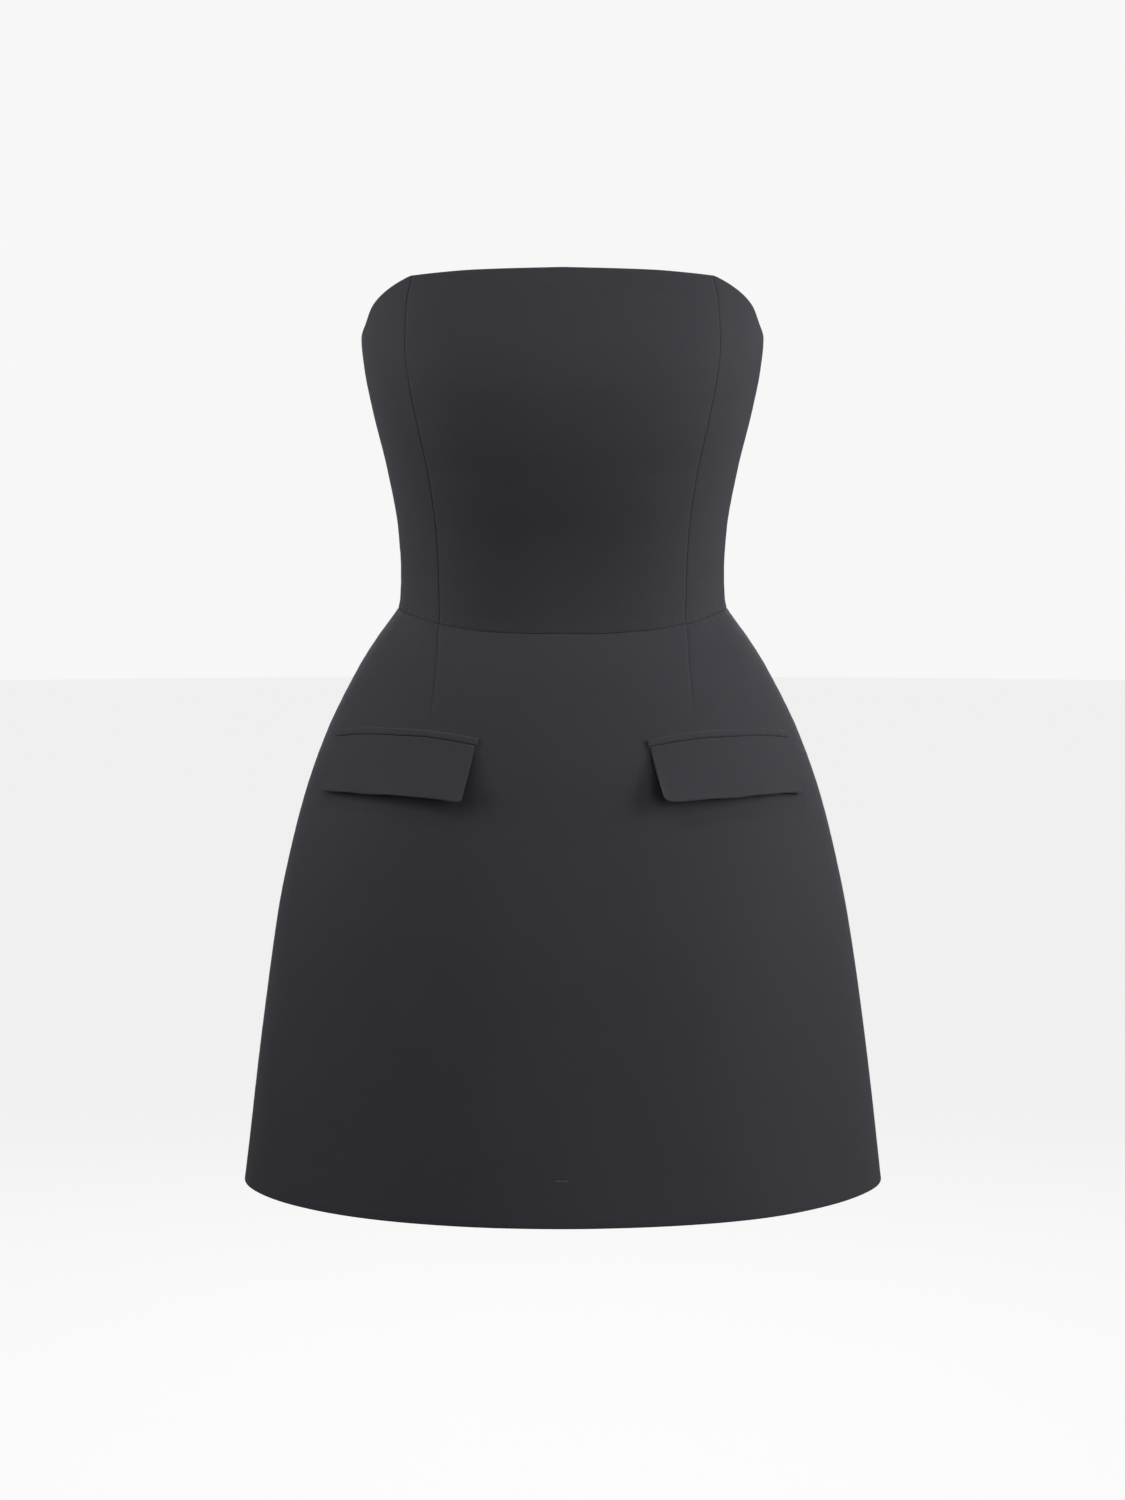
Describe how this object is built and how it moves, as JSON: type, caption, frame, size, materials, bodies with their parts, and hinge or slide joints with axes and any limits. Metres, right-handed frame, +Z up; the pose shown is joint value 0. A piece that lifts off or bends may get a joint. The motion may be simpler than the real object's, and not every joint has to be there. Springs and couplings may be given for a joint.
{
  "type": "strapless dress",
  "caption": "Strapless mini dress, hollow as worn, with a princess-seamed bodice, a flared bell skirt, flap pockets and a concealed back zip.",
  "frame": {"origin": "centre of the waist, level with the waist seam at the sides, where the wearer holds the dress", "axes": "+Z up, the dress faces -Y, +X is the wearer's left"},
  "size_m": [0.493, 0.3398, 0.6956],
  "materials": {
    "cloth": "matte charcoal suiting of fine weave",
    "zip_tape": "woven black tape with a nylon coil",
    "zip_metal": "black enamel"
  },
  "bodies": {
    "dress": {"bodice_front": "cloth", "bodice_side_front_left": "cloth", "bodice_side_front_right": "cloth", "bodice_back_left": "cloth", "bodice_back_right": "cloth", "skirt_front": "cloth", "skirt_back_left": "cloth", "skirt_back_right": "cloth", "pocket_welt_left": "cloth", "pocket_welt_right": "cloth", "pocket_flap_left": "cloth", "pocket_flap_right": "cloth", "zip_tape_left": "zip_tape", "zip_tape_right": "zip_tape", "zip_slider": "zip_metal"},
    "pull": {"zip_pull": "zip_metal"}
  },
  "joints": [
    {"name": "pull_swing", "type": "hinge", "parent": "dress", "child": "pull", "pos_m": [0, 0.10293, 0.1945], "axis": [1, 0, 0], "range_deg": [-4, 165]}
  ]
}
